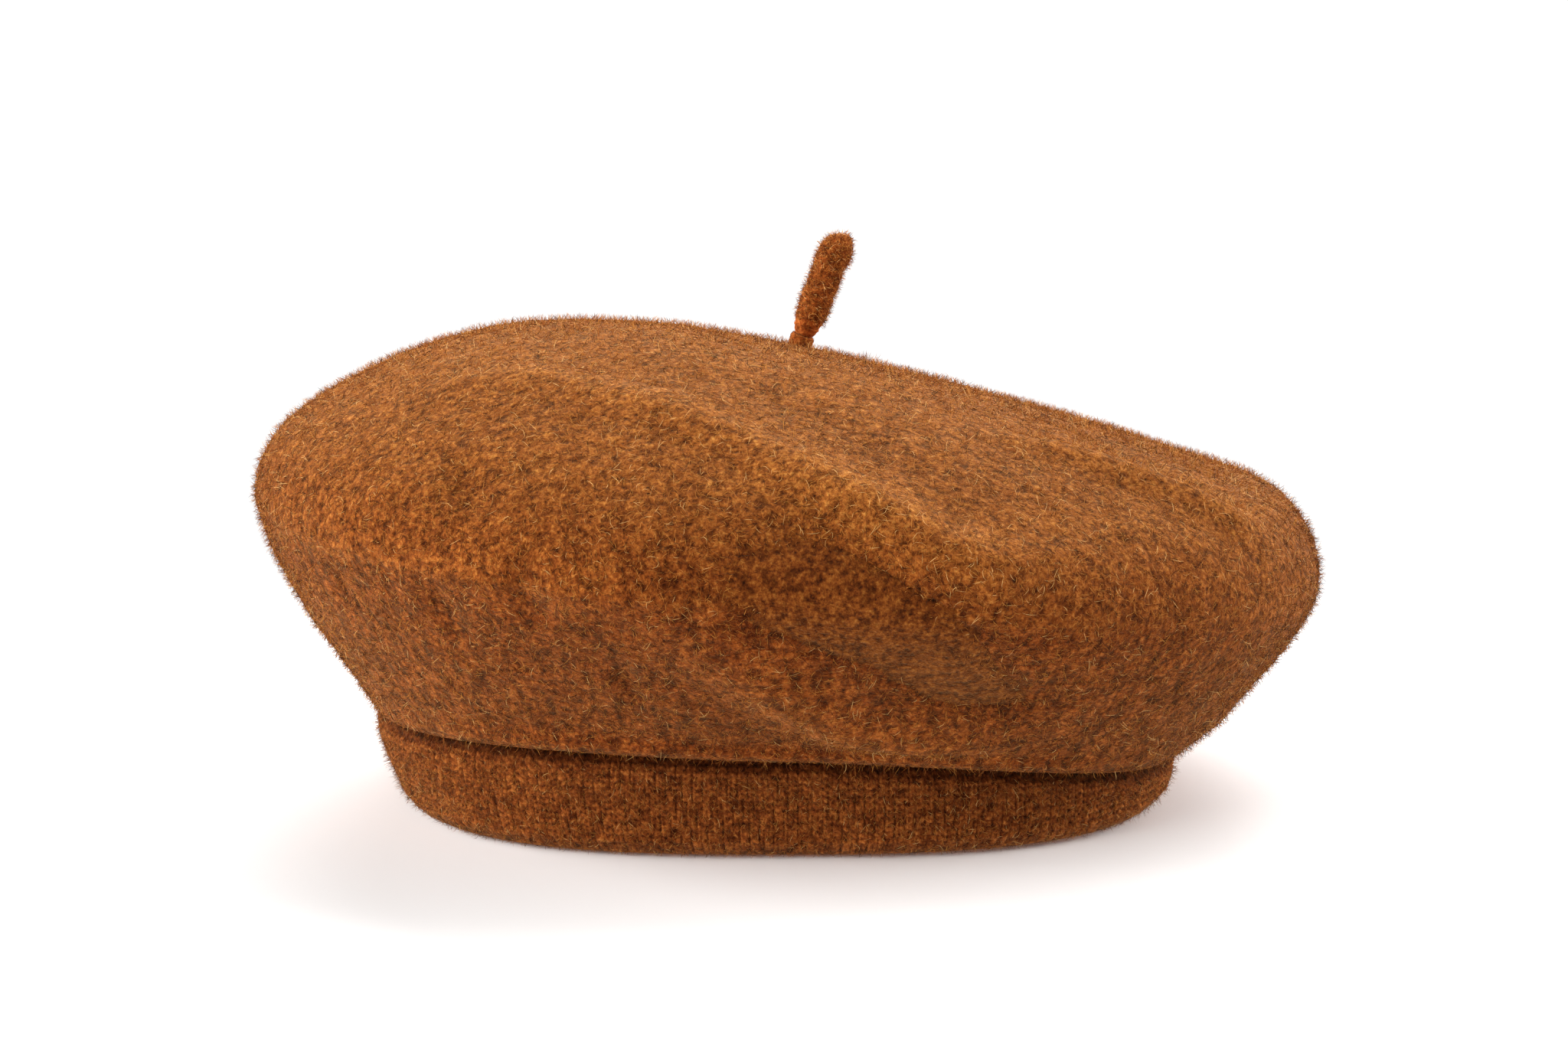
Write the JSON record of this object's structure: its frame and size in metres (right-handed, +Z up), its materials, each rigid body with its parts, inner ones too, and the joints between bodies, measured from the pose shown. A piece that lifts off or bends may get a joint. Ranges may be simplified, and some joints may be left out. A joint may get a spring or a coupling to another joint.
{
  "type": "beret",
  "caption": "Soft round knitted and felted wool beret with a short felt stem on top, a crown that flops to one side and a folded knit headband.",
  "frame": {"origin": "centre of the hat's bounding box at the height of the surface that it stands on", "axes": "+X along the headband's longer axis, towards the side that the crown droops to; +Y towards the back seam; +Z up out of the crown"},
  "size_m": [0.265, 0.252, 0.1379],
  "materials": {
    "crown_felt": "matte",
    "band_knit": "matte",
    "stem_felt": "matte",
    "wool_yarn": "matte",
    "elastic_braid": "matte",
    "label_weave": "matte",
    "tag_tape": "matte"
  },
  "bodies": {
    "hat": {"crown": "crown_felt", "crown_seam_thread": "wool_yarn", "headband": "band_knit", "headband_elastic": "elastic_braid", "band_linking_thread": "wool_yarn", "hem_stitch_thread": "wool_yarn", "headband_seam_thread": "wool_yarn", "label": "label_weave", "label_stitch_thread": "wool_yarn", "stem_anchor_thread": "wool_yarn"},
    "stem_root": {"stem_root_thread": "wool_yarn"},
    "stem": {"stem": "stem_felt"},
    "tag": {"care_tag": "tag_tape"}
  },
  "joints": [
    {"name": "stem_sway", "type": "hinge", "parent": "hat", "child": "stem_root", "pos_m": [0.00461, 0.00867, 0.11336], "axis": [0, 1, 0], "range_deg": [-45, 30], "stiffness_Nm_per_rad": 0.002},
    {"name": "stem_nod", "type": "hinge", "parent": "stem_root", "child": "stem", "pos_m": [0.00461, 0.00867, 0.11336], "axis": [0.9397, 0, -0.342], "range_deg": [-25, 25], "stiffness_Nm_per_rad": 0.002},
    {"name": "tag_flip", "type": "hinge", "parent": "hat", "child": "tag", "pos_m": [0.02192, 0.07152, 0.02], "axis": [-0.9961, 0.0882, 0], "range_deg": [0, 150]}
  ]
}
